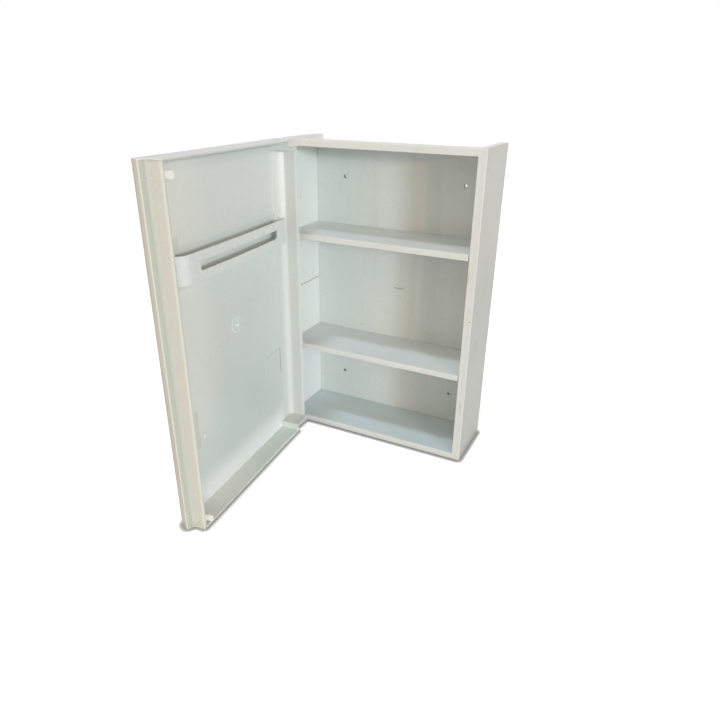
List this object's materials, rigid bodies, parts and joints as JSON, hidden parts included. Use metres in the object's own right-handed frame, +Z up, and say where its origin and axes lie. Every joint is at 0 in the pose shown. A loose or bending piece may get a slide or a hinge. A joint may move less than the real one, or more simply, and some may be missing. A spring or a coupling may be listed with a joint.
{
  "type": "mirrored medicine cabinet",
  "caption": "Wall-hung plastic bathroom cabinet with fixed shelves and a pin-hinged mirrored door that carries a small rack and a finger grip.",
  "frame": {"origin": "centre of the four wall-screw holes, on the plane of the wall behind the cabinet", "axes": "+X to the right of someone facing the cabinet, -Y towards them with the wall at y = 0, +Z up; the door is stored open by 85 degrees"},
  "size_m": [0.304, 0.4168, 0.46],
  "materials": {
    "cabinet_plastic": "white moulded plastic, slightly yellowed, satin",
    "door_plastic": "white moulded plastic, slightly yellowed, satin",
    "rack_plastic": "white moulded plastic, satin",
    "arm_plastic": "white moulded plastic, satin",
    "tongue_plastic": "natural translucent plastic, aged",
    "screw_steel": "zinc plated",
    "pin_steel": "turned and polished",
    "silvered_glass": "silvered glass",
    "adhesive_foam": "double-sided foam strip"
  },
  "bodies": {
    "cabinet": {"left_side_panel": "cabinet_plastic", "right_side_panel": "cabinet_plastic", "top_panel": "cabinet_plastic", "bottom_panel": "cabinet_plastic", "back_panel": "cabinet_plastic", "upper_shelf": "cabinet_plastic", "lower_shelf": "cabinet_plastic", "shelf_screws": "screw_steel", "corner_screws": "screw_steel", "upper_hinge_arm": "arm_plastic", "lower_hinge_arm": "arm_plastic", "arm_screws": "screw_steel", "upper_hinge_pin": "pin_steel", "lower_hinge_pin": "pin_steel"},
    "door": {"door_frame": "door_plastic", "inner_panel": "door_plastic", "mirror_glass": "silvered_glass", "mirror_strips": "adhesive_foam", "upper_catch_tongue": "tongue_plastic", "lower_catch_tongue": "tongue_plastic", "door_rack": "rack_plastic"}
  },
  "joints": [
    {"name": "door_hinge", "type": "hinge", "parent": "cabinet", "child": "door", "pos_m": [-0.139, -0.125, 0], "axis": [0, 0, -1], "range_deg": [-85, 15]}
  ]
}
